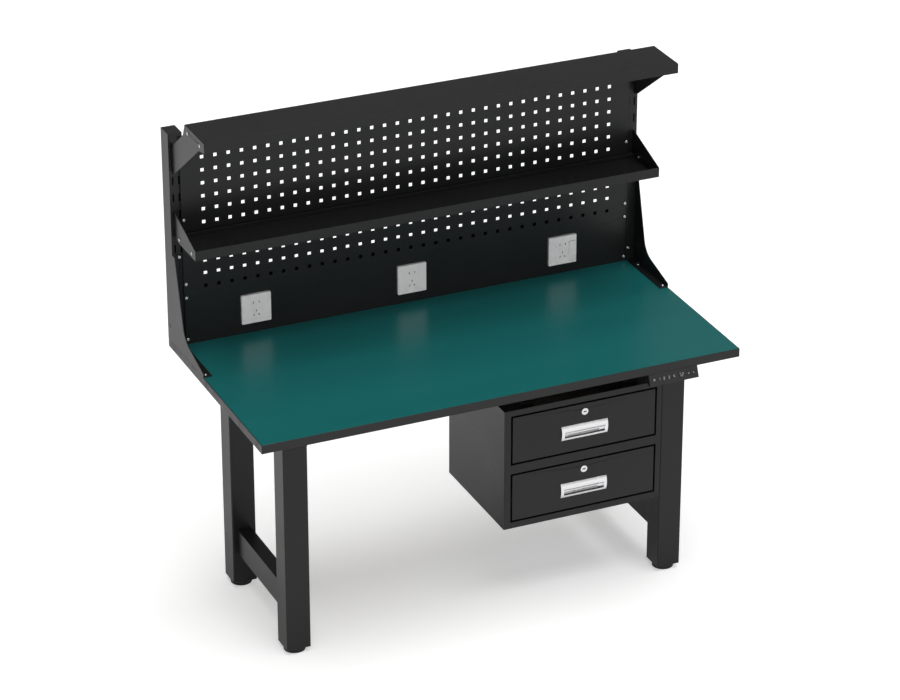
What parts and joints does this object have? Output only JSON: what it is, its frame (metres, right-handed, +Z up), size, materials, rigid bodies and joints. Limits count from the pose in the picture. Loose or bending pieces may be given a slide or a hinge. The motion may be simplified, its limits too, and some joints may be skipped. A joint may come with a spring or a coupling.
{
  "type": "height adjustable workbench",
  "caption": "Electric height adjustable workbench with a slotted pegboard back, shelves, power sockets, a keypad and a hanging drawer cabinet.",
  "frame": {"origin": "on the floor under the middle of the bench, lift at its lowest", "axes": "+Z up, -Y towards the person at the bench, +X to that person's right"},
  "size_m": [1.4, 0.712, 1.417],
  "materials": {
    "powder_coat": "satin black powder coat",
    "column_coat": "smooth black paint",
    "zinc_steel": "bright zinc plate",
    "guide_plastic": "moulded black",
    "motor_housing": "fine black texture",
    "handset_plastic": "fine grained black",
    "foot_plastic": "moulded black",
    "board": "pressed fibre board",
    "green_laminate": "semi gloss blue green laminate",
    "edge_band": "smooth dark grey edging",
    "socket_plastic": "pale grey, smooth",
    "bright_screws": "bright zinc plate, turned",
    "bright_chrome": "bright plated",
    "lock_chrome": "bright plated",
    "key_plastic": "black rubberised caps"
  },
  "bodies": {
    "base": {"outer_column_front_left": "powder_coat", "outer_column_front_right": "powder_coat", "outer_column_rear_left": "powder_coat", "outer_column_rear_right": "powder_coat", "crossbar_left": "powder_coat", "crossbar_right": "powder_coat", "column_base_plates": "zinc_steel", "column_guide_collars": "guide_plastic", "spindle_nuts": "zinc_steel"},
    "foot_front_left": {"foot_front_left": "foot_plastic"},
    "foot_front_right": {"foot_front_right": "foot_plastic"},
    "foot_rear_left": {"foot_rear_left": "foot_plastic"},
    "foot_rear_right": {"foot_rear_right": "foot_plastic"},
    "lift": {"inner_columns": "column_coat", "lift_spindles": "zinc_steel", "column_motors": "motor_housing", "side_rails": "powder_coat", "cross_rails": "powder_coat", "control_box": "handset_plastic", "worktop_board": "board", "worktop_laminate": "green_laminate", "worktop_edge_band": "edge_band", "upright_left": "powder_coat", "upright_right": "powder_coat", "gusset_left": "powder_coat", "gusset_right": "powder_coat", "pegboard": "powder_coat", "lower_panel": "powder_coat", "wiring_duct": "powder_coat", "power_inlet": "handset_plastic", "socket_plates": "socket_plastic", "top_shelf": "powder_coat", "middle_shelf": "powder_coat", "top_shelf_brackets": "powder_coat", "middle_shelf_brackets": "powder_coat", "screws": "bright_screws", "cabinet_shell": "powder_coat", "cabinet_hangers": "powder_coat", "cabinet_runners": "zinc_steel", "handset_housing": "handset_plastic"},
    "upper_drawer": {"upper_drawer_box": "powder_coat", "upper_drawer_front": "powder_coat", "upper_drawer_handle": "bright_chrome", "upper_lock_barrel": "lock_chrome"},
    "upper_middle_runners": {"upper_middle_runners": "zinc_steel"},
    "upper_lock": {"upper_lock_plug": "lock_chrome"},
    "lower_drawer": {"lower_drawer_box": "powder_coat", "lower_drawer_front": "powder_coat", "lower_drawer_handle": "bright_chrome", "lower_lock_barrel": "lock_chrome"},
    "lower_middle_runners": {"lower_middle_runners": "zinc_steel"},
    "lower_lock": {"lower_lock_plug": "lock_chrome"},
    "rocker": {"socket_rocker": "socket_plastic"},
    "key_m": {"handset_key_m": "key_plastic"},
    "key_1": {"handset_key_1": "key_plastic"},
    "key_2": {"handset_key_2": "key_plastic"},
    "key_3": {"handset_key_3": "key_plastic"},
    "key_4": {"handset_key_4": "key_plastic"},
    "key_down": {"handset_key_down": "key_plastic"},
    "key_up": {"handset_key_up": "key_plastic"}
  },
  "joints": [
    {"name": "foot_front_left_level", "type": "slide", "parent": "base", "child": "foot_front_left", "axis": [0, 0, -1], "range_m": [0, 0.02]},
    {"name": "foot_front_right_level", "type": "slide", "parent": "base", "child": "foot_front_right", "axis": [0, 0, -1], "range_m": [0, 0.02]},
    {"name": "foot_rear_left_level", "type": "slide", "parent": "base", "child": "foot_rear_left", "axis": [0, 0, -1], "range_m": [0, 0.02]},
    {"name": "foot_rear_right_level", "type": "slide", "parent": "base", "child": "foot_rear_right", "axis": [0, 0, -1], "range_m": [0, 0.02]},
    {"name": "column_lift", "type": "slide", "parent": "base", "child": "lift", "axis": [0, 0, 1], "range_m": [0, 0.4]},
    {"name": "upper_drawer_slide", "type": "slide", "parent": "lift", "child": "upper_drawer", "axis": [0, -1, 0], "range_m": [0, 0.32]},
    {"name": "upper_runner_slide", "type": "slide", "parent": "lift", "child": "upper_middle_runners", "axis": [0, -1, 0], "range_m": [0, 0.16]},
    {"name": "upper_lock_turn", "type": "hinge", "parent": "upper_drawer", "child": "upper_lock", "pos_m": [0.28925, -0.215, 0.5621], "axis": [0, -1, 0], "range_deg": [0, 90]},
    {"name": "lower_drawer_slide", "type": "slide", "parent": "lift", "child": "lower_drawer", "axis": [0, -1, 0], "range_m": [0, 0.32]},
    {"name": "lower_runner_slide", "type": "slide", "parent": "lift", "child": "lower_middle_runners", "axis": [0, -1, 0], "range_m": [0, 0.16]},
    {"name": "lower_lock_turn", "type": "hinge", "parent": "lower_drawer", "child": "lower_lock", "pos_m": [0.28925, -0.215, 0.3846], "axis": [0, -1, 0], "range_deg": [0, 90]},
    {"name": "rocker_tilt", "type": "hinge", "parent": "lift", "child": "rocker", "pos_m": [0.496, 0.2882, 0.791], "axis": [-1, 0, 0], "range_deg": [0, 5.7]},
    {"name": "key_m_press", "type": "slide", "parent": "lift", "child": "key_m", "axis": [0, 0.9285, -0.3714], "range_m": [0, 0.0005], "stiffness_N_per_m": 800},
    {"name": "key_1_press", "type": "slide", "parent": "lift", "child": "key_1", "axis": [0, 0.9285, -0.3714], "range_m": [0, 0.0005], "stiffness_N_per_m": 800},
    {"name": "key_2_press", "type": "slide", "parent": "lift", "child": "key_2", "axis": [0, 0.9285, -0.3714], "range_m": [0, 0.0005], "stiffness_N_per_m": 800},
    {"name": "key_3_press", "type": "slide", "parent": "lift", "child": "key_3", "axis": [0, 0.9285, -0.3714], "range_m": [0, 0.0005], "stiffness_N_per_m": 800},
    {"name": "key_4_press", "type": "slide", "parent": "lift", "child": "key_4", "axis": [0, 0.9285, -0.3714], "range_m": [0, 0.0005], "stiffness_N_per_m": 800},
    {"name": "key_down_press", "type": "slide", "parent": "lift", "child": "key_down", "axis": [0, 0.9285, -0.3714], "range_m": [0, 0.0005], "stiffness_N_per_m": 800},
    {"name": "key_up_press", "type": "slide", "parent": "lift", "child": "key_up", "axis": [0, 0.9285, -0.3714], "range_m": [0, 0.0005], "stiffness_N_per_m": 800}
  ],
  "couplings": [
    {"joint": "upper_runner_slide", "follows": "upper_drawer_slide", "ratio": 0.5},
    {"joint": "lower_runner_slide", "follows": "lower_drawer_slide", "ratio": 0.5}
  ]
}
